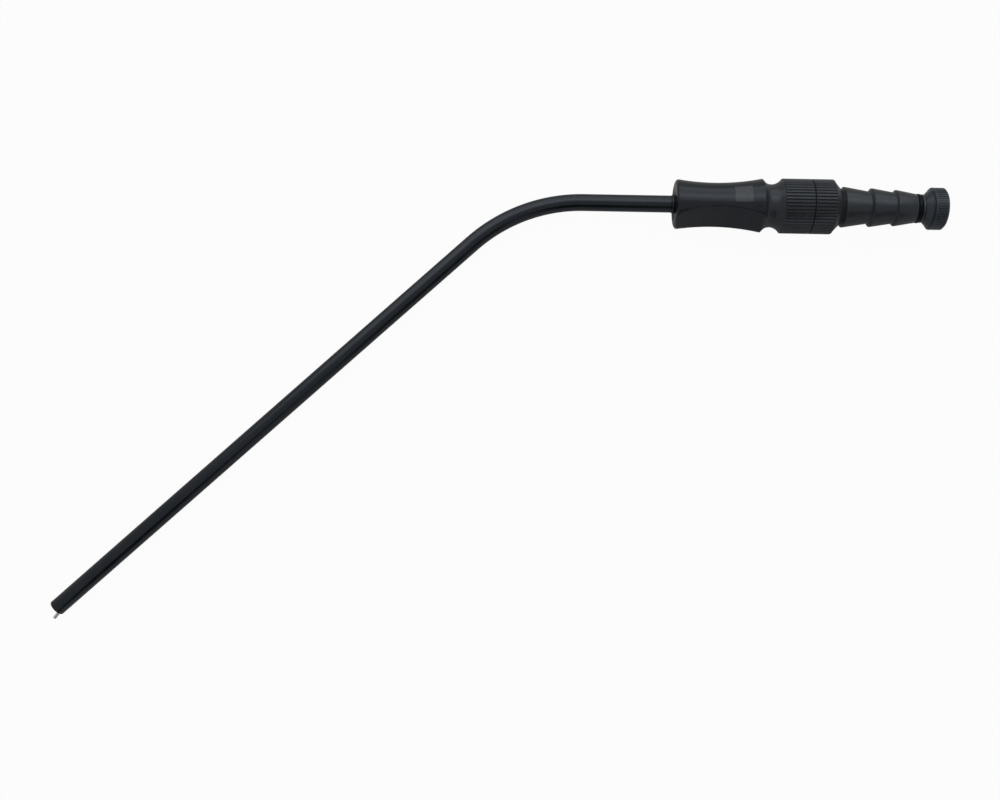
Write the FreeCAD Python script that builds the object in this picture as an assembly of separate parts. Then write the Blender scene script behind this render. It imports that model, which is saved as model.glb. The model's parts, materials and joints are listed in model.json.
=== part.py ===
import FreeCAD, Part

import math
import os

# Angled suction tube, lying on its side at rest, in millimetres with +Z up.
# A thin tube with one bend is fixed in a waisted handle. A barbed hose nozzle screws into the
# handle's rear, and a stylet wire with a knurled knob is pushed through the whole instrument.
# Every piece is drawn along the handle's axis: x = 0 at the handle's front face, +x to the knob,
# and the tube bends towards -y in the plane z = 0. One resting placement then lays it all down.

V = FreeCAD.Vector

# Clearances between pieces
BRAZE_GAP = 0.03
SOCKET_GAP = 0.05
SPIGOT_END_GAP = 0.3
PLUG_GAP = 0.05
RING_GAP = 0.01
WIRE_GAP = 0.03

# A knurl's lands lie just under the plain rim, and the faces that end it just below its groove
# floors. Its cutter runs on past those faces and stands outside the rim.
KNURL_STEP = 0.03
KNURL_LAND_DROP = 0.02
CUTTER_RUN_OUT = 0.2
CUTTER_MARGIN = 1.0

# Suction tube
TUBE_R = 2.0
TUBE_BORE_R = 1.5
TUBE_SEAT_DEPTH = 14.0
TUBE_STRAIGHT = 21.75
BEND_R = 39.0
BEND_DEG = 42.4
TUBE_REACH = 133.0
MOUTH_EDGE = 0.15

# Handle: front boss, waisted grip, neck and the front half of the knurled collar
BOSS_R = 2.25
BOSS_LENGTH = 1.1
BOSS_TAPER = 0.2
GRIP_LENGTH = 20.0
GRIP_FRONT_R = 5.82
GRIP_FRONT_EDGE = 0.25
WAIST_FROM_FRONT = 8.6
WAIST_R = 5.13
GRIP_REAR_R = 6.18
NECK_LENGTH = 4.7
NECK_FRONT_FLANK = 1.3
NECK_REAR_FLANK = 1.65
NECK_R = 5.04
COLLAR_R = 6.43
COLLAR_FRONT_LENGTH = 6.75

# Finger scoops on two opposite flanks of the grip
SCOOP_FROM_FRONT = 9.2
SCOOP_ARC_R = 26.0
SCOOP_FLOOR_R = 3.72
SCOOP_TURN_DEG = 56.0
SCOOP_HALF_WIDTH = 9.0

# Straight knurl and the line where the two halves of the collar meet
COLLAR_GROOVE_COUNT = 50
COLLAR_GROOVE_WIDTH = 0.42
COLLAR_GROOVE_DEPTH = 0.28
SPLIT_LINE_WIDTH = 0.2

# Hose nozzle: rear half of the collar, rear cone, three barbs and the spigot in the handle.
# Each barb has its crest radius, the root radius behind it and its length.
COLLAR_REAR_LENGTH = 5.13
REAR_CONE_LENGTH = 1.4
NOZZLE_NECK_R = 4.2
NOZZLE_NECK_LENGTH = 0.35
BARBS = ((4.66, 3.82, 6.5), (4.5, 3.7, 5.75), (4.14, 3.3, 5.6))
BARB_RISE = 0.65
BARB_LAND = 0.35
NOZZLE_END_EDGE = 0.12
NOZZLE_BORE_R = 2.3
SPIGOT_R = 4.2
SPIGOT_LENGTH = 7.6

# Stylet: plug and knob in one, sealing ring under the flange, wire
PLUG_LENGTH = 6.0
PLUG_EDGE = 0.4
KNOB_RING_WIDTH = 1.14
KNOB_RING_HEIGHT = 1.05
KNOB_RING_EASE = 0.35
FLANGE_R = 3.2
FLANGE_THICKNESS = 0.45
KNOB_VALLEY_R = 2.97
KNOB_VALLEY_LENGTH = 0.15
KNOB_CONE_LENGTH = 1.36
KNOB_CONE_R = 4.25
KNOB_STEP_LENGTH = 0.3
KNOB_RIM_R = 4.8
KNOB_RIM_LENGTH = 3.3
KNOB_FRONT_EDGE = 0.15
KNOB_REAR_EDGE = 0.4
KNOB_PLAIN_BAND = 0.4
KNOB_GROOVE_COUNT = 52
KNOB_GROOVE_WIDTH = 0.3
KNOB_GROOVE_DEPTH = 0.2
WIRE_R = 0.39
WIRE_HOLE_FROM_END = 3.9
WIRE_SWING_DEG = 10.0
WIRE_SHOWING = 2.0

# Stations along the handle's axis, from its front face
COLLAR_X = GRIP_LENGTH + NECK_LENGTH
SPLIT_X = COLLAR_X + COLLAR_FRONT_LENGTH
COLLAR_END_X = SPLIT_X + COLLAR_REAR_LENGTH
CONE_END_X = COLLAR_END_X + REAR_CONE_LENGTH
BARBS_X = CONE_END_X + NOZZLE_NECK_LENGTH
NOZZLE_END_X = BARBS_X + sum(barb[2] for barb in BARBS)
SPIGOT_X = SPLIT_X - SPIGOT_LENGTH
SOCKET_X = SPIGOT_X - SPIGOT_END_GAP
FLANGE_X = NOZZLE_END_X + KNOB_RING_WIDTH
VALLEY_X = FLANGE_X + FLANGE_THICKNESS
KNOB_CONE_X = VALLEY_X + KNOB_VALLEY_LENGTH
KNOB_STEP_X = KNOB_CONE_X + KNOB_CONE_LENGTH
KNOB_RIM_X = KNOB_STEP_X + KNOB_STEP_LENGTH
KNOB_END_X = KNOB_RIM_X + KNOB_RIM_LENGTH
KNOB_EDGE_X = KNOB_END_X - KNOB_REAR_EDGE
WIRE_HOLE_X = KNOB_END_X - WIRE_HOLE_FROM_END

# Radii and turns that follow from the sizes above
PLUG_R = NOZZLE_BORE_R - PLUG_GAP
SOCKET_R = SPIGOT_R + SOCKET_GAP
COLLAR_LAND_R = COLLAR_R - KNURL_LAND_DROP
COLLAR_END_R = COLLAR_R - COLLAR_GROOVE_DEPTH - KNURL_STEP
KNOB_EDGE_R = KNOB_RIM_R - KNOB_GROOVE_DEPTH - KNURL_STEP
BEND = math.radians(BEND_DEG)
WIRE_SWING = math.radians(WIRE_SWING_DEG)
WIRE_SWING_R = (TUBE_BORE_R - WIRE_R - WIRE_GAP) / (1.0 - math.cos(WIRE_SWING))


def turned(start, *moves):
    """Revolve a closed half section about the handle axis. A move is an end point, or a pair
    of points for a smooth curve: one that it passes through, then its end."""
    edges = []
    at = V(start[0], start[1], 0)
    for move in moves + (start,):
        if isinstance(move[0], tuple):
            through = V(move[0][0], move[0][1], 0)
            end = V(move[1][0], move[1][1], 0)
            curve = Part.BSplineCurve()
            curve.interpolate([at, through, end])
            edges.append(curve.toShape())
        else:
            end = V(move[0], move[1], 0)
            edges.append(Part.makeLine(at, end))
        at = end
    face = Part.Face(Part.Wire(edges))
    return face.revolve(V(0, 0, 0), V(1, 0, 0), 360.0)


def disc(centre, direction, radius):
    """A flat disc, square to a direction."""
    return Part.Face(Part.Wire([Part.makeCircle(radius, centre, direction)]))


def heading(angle):
    """The tube's direction, towards the mouth, after turning through an angle."""
    return V(-math.cos(angle), -math.sin(angle), 0)


def inner_side(angle):
    """The direction from the tube's line towards the inner side of the bend."""
    return V(math.sin(angle), -math.cos(angle), 0)


def bend_exit():
    """The end of the bend on the tube's centre line."""
    centre = V(-TUBE_STRAIGHT, -BEND_R, 0)
    return centre - inner_side(BEND) * BEND_R


def mouth_point():
    """The centre of the tube's mouth."""
    return bend_exit() + heading(BEND) * TUBE_REACH


def bar_along_tube(radius, rear_x, reach):
    """A round bar along the tube's line, from rear_x in the handle, round the bend and on for a
    reach."""
    start = disc(V(rear_x, 0, 0), V(-1, 0, 0), radius)
    straight = start.extrude(V(-TUBE_STRAIGHT - rear_x, 0, 0))
    at_bend = disc(V(-TUBE_STRAIGHT, 0, 0), V(-1, 0, 0), radius)
    bend = at_bend.revolve(V(-TUBE_STRAIGHT, -BEND_R, 0), V(0, 0, 1), BEND_DEG)
    at_exit = disc(bend_exit(), heading(BEND), radius)
    run = at_exit.extrude(heading(BEND) * reach)
    return straight.fuse([bend, run])


def circles_at(shape, centre, radius):
    """The circular edges of one radius about a centre."""
    found = []
    for edge in shape.Edges:
        curve = edge.Curve
        if not isinstance(curve, Part.Circle):
            continue
        if curve.Center.distanceToPoint(centre) < 1e-4 and abs(curve.Radius - radius) < 1e-4:
            found.append(edge)
    return found


def suction_tube():
    """Bent tube, seated in the handle, with both edges of its mouth broken."""
    tube = bar_along_tube(TUBE_R, TUBE_SEAT_DEPTH, TUBE_REACH)
    tube = tube.cut(bar_along_tube(TUBE_BORE_R, TUBE_SEAT_DEPTH, TUBE_REACH))
    rims = circles_at(tube, mouth_point(), TUBE_R) + circles_at(tube, mouth_point(), TUBE_BORE_R)
    return tube.makeChamfer(MOUTH_EDGE, rims)


def around(x, radius, angle):
    """A point at a radius and an angle about the handle axis."""
    return V(x, radius * math.sin(angle), radius * math.cos(angle))


def knurl_waste(count, radius, width, depth, x_from, x_to):
    """What a straight knurl takes off a rim: a ring whose hole has the teeth's outline, with
    one V groove between each pair of flat lands."""
    pitch = 2.0 * math.pi / count
    half_groove = 0.5 * width / radius
    land_r = radius - KNURL_LAND_DROP
    teeth = []
    for i in range(count):
        middle = i * pitch
        teeth.append(around(x_from, land_r, middle - half_groove))
        teeth.append(around(x_from, radius - depth, middle))
        teeth.append(around(x_from, land_r, middle + half_groove))
    outline = Part.makePolygon(teeth + teeth[:1])
    blank = disc(V(x_from, 0, 0), V(1, 0, 0), radius + CUTTER_MARGIN)
    run = V(x_to - x_from, 0, 0)
    return blank.extrude(run).cut(Part.Face(outline).extrude(run))


def scoop(turn_deg):
    """Cylinder lying across the grip, turned about the handle axis from straight up towards
    the inner side of the bend."""
    base = V(SCOOP_FROM_FRONT, SCOOP_HALF_WIDTH, SCOOP_FLOOR_R + SCOOP_ARC_R)
    cutter = Part.makeCylinder(SCOOP_ARC_R, 2.0 * SCOOP_HALF_WIDTH, base, V(0, -1, 0))
    cutter.rotate(V(0, 0, 0), V(1, 0, 0), turn_deg)
    return cutter


def collar_knurl(x_from, x_to):
    """The collar's knurl over one stretch, in line with itself on both halves."""
    return knurl_waste(
        COLLAR_GROOVE_COUNT,
        COLLAR_R,
        COLLAR_GROOVE_WIDTH,
        COLLAR_GROOVE_DEPTH,
        x_from,
        x_to,
    )


def handle():
    """Front boss, waisted grip with two scoops, neck and the front half of the collar."""
    tube_hole_r = TUBE_R + BRAZE_GAP
    body = turned(
        (-BOSS_LENGTH, tube_hole_r),
        (-BOSS_LENGTH, BOSS_R - BOSS_TAPER),
        (-BOSS_LENGTH + BOSS_TAPER, BOSS_R),
        (0, BOSS_R),
        (0, GRIP_FRONT_R - GRIP_FRONT_EDGE),
        (GRIP_FRONT_EDGE, GRIP_FRONT_R),
        ((WAIST_FROM_FRONT, WAIST_R), (GRIP_LENGTH, GRIP_REAR_R)),
        (GRIP_LENGTH + NECK_FRONT_FLANK, NECK_R),
        (COLLAR_X - NECK_REAR_FLANK, NECK_R),
        (COLLAR_X, COLLAR_END_R),
        (COLLAR_X, COLLAR_R),
        (SPLIT_X, COLLAR_R),
        (SPLIT_X, SOCKET_R),
        (SOCKET_X, SOCKET_R),
        (SOCKET_X, TUBE_BORE_R),
        (TUBE_SEAT_DEPTH, TUBE_BORE_R),
        (TUBE_SEAT_DEPTH, tube_hole_r),
    )
    body = body.cut([scoop(SCOOP_TURN_DEG), scoop(SCOOP_TURN_DEG + 180.0)])
    return body.cut(collar_knurl(COLLAR_X - CUTTER_RUN_OUT, SPLIT_X))


def barb_outline():
    """The barbs' outline from the nozzle's neck to its end: a short rise, a narrow land and a
    long cone for each."""
    points = []
    foot = BARBS_X
    for crest_r, root_r, length in BARBS:
        points.append((foot + BARB_RISE, crest_r))
        points.append((foot + BARB_RISE + BARB_LAND, crest_r))
        points.append((foot + length, root_r))
        foot += length
    last_x, last_r = points.pop()
    points.append((last_x - NOZZLE_END_EDGE, last_r))
    points.append((last_x, last_r - NOZZLE_END_EDGE))
    return points


def hose_nozzle():
    """Spigot, rear half of the collar, cone and barbs, bored through."""
    body = turned(
        (SPIGOT_X, NOZZLE_BORE_R),
        (SPIGOT_X, SPIGOT_R),
        (SPLIT_X, SPIGOT_R),
        (SPLIT_X, COLLAR_END_R),
        (SPLIT_X + SPLIT_LINE_WIDTH, COLLAR_END_R),
        (SPLIT_X + SPLIT_LINE_WIDTH, COLLAR_R),
        (COLLAR_END_X, COLLAR_R),
        (COLLAR_END_X, COLLAR_END_R),
        (CONE_END_X, NOZZLE_NECK_R),
        (BARBS_X, NOZZLE_NECK_R),
        *barb_outline(),
        (NOZZLE_END_X, NOZZLE_BORE_R),
    )
    return body.cut(collar_knurl(SPLIT_X, COLLAR_END_X + CUTTER_RUN_OUT))


def stylet_seal():
    """Rubber ring on the plug, squeezed flat between the nozzle's end and the knob's flange,
    with its outer corners eased."""
    inner_r = PLUG_R + RING_GAP
    outer_r = inner_r + KNOB_RING_HEIGHT
    return turned(
        (NOZZLE_END_X, inner_r),
        (NOZZLE_END_X, outer_r - KNOB_RING_EASE),
        (NOZZLE_END_X + KNOB_RING_EASE, outer_r),
        (FLANGE_X - KNOB_RING_EASE, outer_r),
        (FLANGE_X, outer_r - KNOB_RING_EASE),
        (FLANGE_X, inner_r),
    )


def stylet_knob():
    """Plug that fits the nozzle's bore, flange, cone and knurled rim, with a hole for the wire."""
    plug_x = NOZZLE_END_X - PLUG_LENGTH
    hole_r = WIRE_R + BRAZE_GAP
    body = turned(
        (plug_x, hole_r),
        (plug_x, PLUG_R - PLUG_EDGE),
        (plug_x + PLUG_EDGE, PLUG_R),
        (FLANGE_X, PLUG_R),
        (FLANGE_X, FLANGE_R),
        (VALLEY_X, FLANGE_R),
        (VALLEY_X, KNOB_VALLEY_R),
        (KNOB_CONE_X, KNOB_VALLEY_R),
        (KNOB_STEP_X, KNOB_CONE_R),
        (KNOB_RIM_X, KNOB_RIM_R - KNOB_FRONT_EDGE),
        (KNOB_RIM_X + KNOB_FRONT_EDGE, KNOB_RIM_R),
        (KNOB_EDGE_X, KNOB_RIM_R),
        (KNOB_EDGE_X, KNOB_EDGE_R),
        (KNOB_END_X, KNOB_RIM_R - KNOB_REAR_EDGE),
        (KNOB_END_X, 0),
        (WIRE_HOLE_X, 0),
        (WIRE_HOLE_X, hole_r),
    )
    knurl = knurl_waste(
        KNOB_GROOVE_COUNT,
        KNOB_RIM_R,
        KNOB_GROOVE_WIDTH,
        KNOB_GROOVE_DEPTH,
        KNOB_RIM_X + KNOB_PLAIN_BAND,
        KNOB_EDGE_X + CUTTER_RUN_OUT,
    )
    return body.cut(knurl)


def stylet_wire():
    """Wire along the tube's line that swings to the inner wall just before the mouth."""
    swing_x = TUBE_REACH - WIRE_SWING_R * math.sin(WIRE_SWING)
    body = bar_along_tube(WIRE_R, WIRE_HOLE_X, swing_x)
    start = bend_exit() + heading(BEND) * swing_x
    centre = start + inner_side(BEND) * WIRE_SWING_R
    arc = disc(start, heading(BEND), WIRE_R).revolve(centre, V(0, 0, 1), WIRE_SWING_DEG)
    last = BEND + WIRE_SWING
    end = centre - inner_side(last) * WIRE_SWING_R
    tail = disc(end, heading(last), WIRE_R).extrude(heading(last) * WIRE_SHOWING)
    return body.fuse([arc, tail])


def lowest_on(centre, axis, radius, up):
    """The lowest point of a circle, for a given up direction."""
    across = up - axis * up.dot(axis)
    across.normalize()
    return centre - across * radius


def resting_up():
    """The up direction in which the grip's front rim, the collar's front rim and the tube's mouth
    all touch one floor, and one of those touching points."""
    circles = [
        (V(GRIP_FRONT_EDGE, 0, 0), V(1, 0, 0), GRIP_FRONT_R),
        (V(COLLAR_X, 0, 0), V(1, 0, 0), COLLAR_LAND_R),
        (mouth_point() - heading(BEND) * MOUTH_EDGE, heading(BEND), TUBE_R),
    ]
    up = V(0, 0, 1)
    for _ in range(20):
        a, b, c = [lowest_on(*circle, up) for circle in circles]
        up = (b - a).cross(c - a)
        if up.z < 0:
            up = up * -1.0
        up.normalize()
    return up, a


def resting_placement():
    """Turn that lays the floor level with +X along the handle, and the lift that puts the
    touching points at z = 0."""
    up, touch = resting_up()
    along = V(1, 0, 0) - up * up.x
    along.normalize()
    across = up.cross(along)
    turn = FreeCAD.Matrix(
        along.x, along.y, along.z, 0,
        across.x, across.y, across.z, 0,
        up.x, up.y, up.z, 0,
        0, 0, 0, 1,
    )
    lift = V(0, 0, -up.dot(touch))
    return FreeCAD.Placement(lift, FreeCAD.Placement(turn).Rotation)


def pieces():
    """Every piece by its name, along the handle's axis."""
    return {
        "suction_tube": suction_tube(),
        "handle": handle(),
        "hose_nozzle": hose_nozzle(),
        "stylet_knob": stylet_knob(),
        "stylet_seal": stylet_seal(),
        "stylet_wire": stylet_wire(),
    }


def laid_down(shapes):
    """The pieces at rest, with the middle of their outer box over the origin, and the placement
    that took them there."""
    place = resting_placement()
    lying = {}
    for name, shape in shapes.items():
        lying[name] = shape.copy()
        lying[name].Placement = place.multiply(shape.Placement)
    box = Part.makeCompound(list(lying.values())).optimalBoundingBox(False, False)
    shift = V(-box.Center.x, -box.Center.y, 0)
    for shape in lying.values():
        shape.translate(shift)
    place.Base = place.Base + shift
    return lying, place


def main():
    os.makedirs("parts", exist_ok=True)
    lying, place = laid_down(pieces())
    for name, shape in lying.items():
        shape.exportStep("parts/" + name + ".step")
        box = shape.optimalBoundingBox(False, False)
        print(
            name,
            "solids", len(shape.Solids),
            "valid", shape.isValid(),
            "volume", round(shape.Volume, 2),
            "low", [round(v, 3) for v in (box.XMin, box.YMin, box.ZMin)],
            "high", [round(v, 3) for v in (box.XMax, box.YMax, box.ZMax)],
        )
    print("placement", place)


if __name__ == "__main__":
    main()
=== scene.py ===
import json
import math

import bmesh
import bpy
from mathutils import Matrix, Vector


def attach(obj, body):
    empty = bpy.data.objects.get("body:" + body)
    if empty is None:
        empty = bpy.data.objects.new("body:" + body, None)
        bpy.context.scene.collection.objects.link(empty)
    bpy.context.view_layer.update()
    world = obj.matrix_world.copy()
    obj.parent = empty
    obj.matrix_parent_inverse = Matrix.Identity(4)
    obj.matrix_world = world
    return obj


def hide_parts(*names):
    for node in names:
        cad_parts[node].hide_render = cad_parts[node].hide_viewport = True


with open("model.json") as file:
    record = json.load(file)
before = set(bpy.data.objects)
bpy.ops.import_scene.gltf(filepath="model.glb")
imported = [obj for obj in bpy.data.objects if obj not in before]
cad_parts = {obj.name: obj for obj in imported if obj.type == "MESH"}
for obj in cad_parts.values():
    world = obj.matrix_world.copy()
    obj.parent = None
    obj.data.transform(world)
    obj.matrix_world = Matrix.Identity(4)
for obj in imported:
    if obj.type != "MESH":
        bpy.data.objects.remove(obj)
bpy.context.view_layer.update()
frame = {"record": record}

bl_info = {
    "name": "Angled Suction Tube",
    "version": (1, 0, 0),
    "blender": (4, 5, 0),
    "location": "View3D > Sidebar > Suction Tube",
    "description": "Builds an angled suction tube with its stylet around its packed solids",
    "category": "Add Mesh",
}

# Pieces are drawn in millimetres along the handle's axis, as the solids are: x = 0 at the handle's
# front face, +x to the knob, and the tube bends towards -y. MM takes them to metres.
MM = 0.001
# Points nearer than MERGE become one, and a point is at a station if it is nearer than CLOSE
MERGE = 0.002 * MM
CLOSE = 1e-4 * MM

# Points round the turned pieces: eight for each groove of a knurl
POINTS_PER_GROOVE = 8
# How deep each of the eight points lies, as a share of the groove's depth
COLLAR_SECTION = (0.0, 0.0, 0.0, 0.0, 0.72, 1.0, 0.72, 0.0)
KNOB_SECTION = (0.0, 0.0, 0.0, 0.0, 0.0, 0.9, 0.9, 0.0)

# Points round the other pieces, and steps along the tube and the wire
TUBE_POINTS = 72
WIRE_POINTS = 40
SEAL_POINTS = 96
SEAL_SECTION_POINTS = 28
BEND_STEPS = 56
SWING_STEPS = 16
REACH_STEPS = 6

# How round the sealing ring's section is, along the axis and across it: 1 is round, less is flat
SEAL_ROUND_ALONG = 0.75
SEAL_ROUND_ACROSS = 0.9

# Faces that meet at less than this many degrees are shaded as one
TUBE_SMOOTH = 50
WIRE_SMOOTH = 40
TURNED_SMOOTH = 32
SEAL_SMOOTH = 60

# Stations along the handle's axis, in mm: where the grooves of each knurl may run, what the scoops
# may press, where the grip's coat changes to the nozzle's, and the end of the knob's hole
FRONT_KNURL = (24.69, 31.46)
REAR_KNURL = (31.63, 36.585)
KNOB_KNURL = (60.02, 62.485)
SCOOP_SPAN = (-0.1, 20.3)
COAT_CHANGE = (19.8, 20.8)
KNOB_HOLE_END = 58.98
KNOB_HOLE_RADIUS = 0.42

# The blank square on the grip: middle, half width and softness of its edges, along the axis in mm
# and round it in radians. It is duller than the coat by this much roughness.
FIELD_ALONG = (15.2, 2.03, 0.06)
FIELD_ROUND = (math.radians(21.5), math.radians(22.0), 0.01)
FIELD_DULLNESS = 0.15

# Each softbox: size, place and the point that it looks at, in metres
SIDE_SOFTBOX = ((2.05, 1.0), (0.0, 0.8, 0.52), (0, 0.05, 0))
HIGH_SOFTBOX = ((1.6, 0.7), (0.1, 0.6, 1.02), (0.1, 0.15, 0))
# Each black card: name, place and width in metres. They are all of one height.
CARDS = (("wide_card", (0.1, -0.97, 0.68), 0.56), ("narrow_card", (0.7, -0.8, 0.66), 0.3))
CARD_HEIGHT = 0.86
FLOOR_SIZE = 6.0


# Settings


def length(name, default, description):
    """A length setting, given in millimetres and kept in metres."""
    return bpy.props.FloatProperty(
        name=name,
        description=description,
        default=default * MM,
        unit="LENGTH",
        subtype="DISTANCE",
        precision=5,
    )


def share(name, default, description):
    """A setting from nought to one."""
    return bpy.props.FloatProperty(
        name=name, description=description, default=default, min=0.0, max=1.0
    )


def colour(name, default, description):
    """A colour setting."""
    return bpy.props.FloatVectorProperty(
        name=name,
        description=description,
        default=default,
        size=3,
        min=0.0,
        max=1.0,
        subtype="COLOR",
    )


class SUCTION_PG_tube(bpy.types.PropertyGroup):
    """Sizes of the bent tube and of the wire in it"""

    radius: length("Tube radius", 1.998, "Outside radius of the tube")
    wall: length("Wall", 0.5, "Wall of the tube")
    seat: length("Seat", 14.0, "How far the tube reaches into the handle")
    straight: length("Straight", 21.75, "Straight run in front of the handle")
    bend_radius: length("Bend radius", 39.0, "Radius of the bend at the tube's middle")
    bend: bpy.props.FloatProperty(
        name="Bend",
        description="Angle of the bend",
        default=math.radians(42.4),
        subtype="ANGLE",
    )
    reach: length("Reach", 132.93, "Straight run from the bend to the mouth")
    lip: length("Lip", 0.13, "Rounding of the mouth's edges")
    wire_radius: length("Wire radius", 0.39, "Radius of the stylet's wire")
    wire_start: length("Wire start", 58.9, "Where the wire begins in the knob")
    swing: bpy.props.FloatProperty(
        name="Swing",
        description="Angle at which the wire crosses to the inner wall",
        default=math.radians(10.0),
        subtype="ANGLE",
    )
    wire_gap: length("Wire gap", 0.03, "Space between the wire and the inner wall")
    showing: length("Showing", 2.07, "Length of wire after its swing")
    burr: length("Burr", 0.04, "Bevel at the wire's end")


class SUCTION_PG_turned(bpy.types.PropertyGroup):
    """Sizes of the handle, the hose nozzle, the knob and the sealing ring"""

    collar_grooves: bpy.props.IntProperty(
        name="Collar grooves", description="Grooves round the collar", default=50, min=12
    )
    collar_radius: length("Collar radius", 6.405, "Radius of the collar over its lands")
    collar_depth: length("Collar groove depth", 0.22, "Depth of the collar's grooves")
    knob_grooves: bpy.props.IntProperty(
        name="Knob grooves", description="Grooves round the knob's rim", default=52, min=12
    )
    knob_radius: length("Knob radius", 4.93, "Radius of the knob's rim")
    knob_depth: length("Knob groove depth", 0.15, "Depth of the knob's grooves")
    nozzle_end: length("Nozzle end", 56.18, "End of the hose nozzle from the handle's front")
    seal_middle: length("Seal middle", 56.75, "Middle of the sealing ring from the handle's front")
    seal_radius: length("Seal radius", 2.85, "Radius of the middle of the ring's section")
    seal_width: length("Seal width", 1.14, "Width of the ring along the axis")
    seal_height: length("Seal height", 1.18, "Height of the ring's section")
    scoop_radius: length("Scoop radius", 28.0, "Radius of the finger scoops' arc")
    scoop_middle: length("Scoop middle", 9.7, "Middle of the scoops from the handle's front")
    scoop_ease: length("Scoop ease", 0.13, "Easing of the scoops' edge")
    scoop_press: length("Scoop press", 2.0, "Deepest that a scoop can be pressed in")
    scoop_floor: length("Scoop floor", 3.72, "Distance of the scoops' floor from the axis")
    scoop_turn: bpy.props.FloatProperty(
        name="Scoop turn",
        description="Turn of the scoops about the handle's axis, from straight up",
        default=math.radians(56.0),
        subtype="ANGLE",
    )


class SUCTION_PG_finish(bpy.types.PropertyGroup):
    """Colours and finishes"""

    tube: colour("Tube coat", (0.0038, 0.0046, 0.006), "Coat of the tube")
    tube_tint: colour("Tube second tone", (0.0065, 0.007, 0.008), "Slow change in its coat")
    body: colour("Body coat", (0.007, 0.0079, 0.0094), "Coat of the handle")
    body_tint: colour("Body second tone", (0.0096, 0.0108, 0.012), "Slow change in its coat")
    nozzle: colour("Nozzle coat", (0.0178, 0.0192, 0.0214), "Coat of the hose nozzle")
    nozzle_tint: colour("Nozzle second tone", (0.0215, 0.0233, 0.0252), "Slow change in its coat")
    knob: colour("Knob coat", (0.0225, 0.026, 0.032), "Coat of the stylet's knob")
    knob_tint: colour("Knob second tone", (0.0275, 0.0315, 0.0365), "Slow change in its coat")
    worn: colour("Worn edge", (0.11, 0.115, 0.125), "Coat where edges are rubbed thin")
    field: colour("Blank field", (0.075, 0.078, 0.08), "Blasted square on the grip, left blank")
    rubber: colour("Rubber", (0.0015, 0.0018, 0.0024), "Sealing ring")
    rubber_tint: colour("Rubber second tone", (0.003, 0.0035, 0.0045), "Slow change in the rubber")
    steel: colour("Steel", (0.74, 0.74, 0.73), "Bare wire")
    steel_tint: colour("Steel second tone", (0.6, 0.6, 0.6), "Drawing lines in the wire")
    tube_roughness: share("Tube roughness", 0.2, "Roughness of the tube's coat")
    body_roughness: share("Body roughness", 0.21, "Roughness of the handle's coat")
    nozzle_roughness: share("Nozzle roughness", 0.28, "Roughness of the nozzle's coat")
    knob_roughness: share("Knob roughness", 0.21, "Roughness of the knob's coat")


class SUCTION_PG_stage(bpy.types.PropertyGroup):
    """Floor, lamps and camera"""

    floor_colour: colour("Floor", (0.48, 0.48, 0.48), "Colour of the floor")
    floor_lift: share("Floor lift", 0.96, "How far the floor is lifted to plain white")
    floor_gloss: share("Floor in reflections", 0.05, "The same lift where the floor is reflected")
    world_level: share("World level", 0.45, "Level of the light from all round")
    side_level: bpy.props.FloatProperty(
        name="Side light", description="Radiance of the side softbox", default=0.8
    )
    high_level: bpy.props.FloatProperty(
        name="High light", description="Radiance of the high softbox", default=0.64
    )
    camera_place: bpy.props.FloatVectorProperty(
        name="Camera place",
        description="Where the camera stands",
        default=(0.001622, 0.00066, 0.266846),
        size=3,
        subtype="TRANSLATION",
    )
    camera_turn: bpy.props.FloatProperty(
        name="Camera turn",
        description="Turn of the camera about the vertical",
        default=0.0225,
        subtype="ANGLE",
    )
    camera_lens: bpy.props.FloatProperty(
        name="Lens", description="Focal length in millimetres", default=39.6
    )


# The resting place


def mount(name):
    """One of the record's mounts."""
    return next(m for m in frame["record"]["mounts"] if m["name"] == name)


def resting_place(context):
    """The turn and shift from the handle's axis to the resting part. The hose mount gives the
    axis and the nozzle's end, and the shaft mount the side to which the tube bends."""
    nozzle_end = context.scene.suction_turned_sizes.nozzle_end
    along = Vector(mount("hose_barbs")["axis"]).normalized()
    to_mouth = Vector(mount("shaft")["axis"]).normalized()
    up = to_mouth.cross(along).normalized()
    across = up.cross(along)
    place = Matrix((along, across, up)).transposed().to_4x4()
    place.translation = Vector(mount("hose_barbs")["pos_m"]) - along * nozzle_end
    return place


# Outlines


def eased(corners):
    """An outline with its corners rounded. Each corner is x, radius and rounding, in mm. The
    rounding is how far it reaches along both sides, and has one point between its ends."""
    points = []
    for i, (x, r, ease) in enumerate(corners):
        here = Vector((x, r))
        if ease == 0.0 or i in (0, len(corners) - 1):
            points.append((x, r))
            continue
        before = (Vector(corners[i - 1][:2]) - here).normalized() * ease
        after = (Vector(corners[i + 1][:2]) - here).normalized() * ease
        points.append(tuple(here + before))
        points.append(tuple(here + 0.25 * (before + after)))
        points.append(tuple(here + after))
    return points


def curve_through(a, b, c, steps):
    """Corners along the circle through three points, without its two ends."""
    a, b, c = Vector(a), Vector(b), Vector(c)
    ab, ac = b - a, c - a
    cross = 2.0 * (ab.x * ac.y - ab.y * ac.x)
    rise = (ac.y * ab.length_squared - ab.y * ac.length_squared) / cross
    run = (ab.x * ac.length_squared - ac.x * ab.length_squared) / cross
    centre = a + Vector((rise, run))
    radius = (a - centre).length
    first = math.atan2(a.y - centre.y, a.x - centre.x)
    last = math.atan2(c.y - centre.y, c.x - centre.x)
    corners = []
    for i in range(1, steps):
        angle = first + (last - first) * i / steps
        x = centre.x + radius * math.cos(angle)
        r = centre.y + radius * math.sin(angle)
        corners.append((x, r, 0.0))
    return corners


# Modelling


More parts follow.
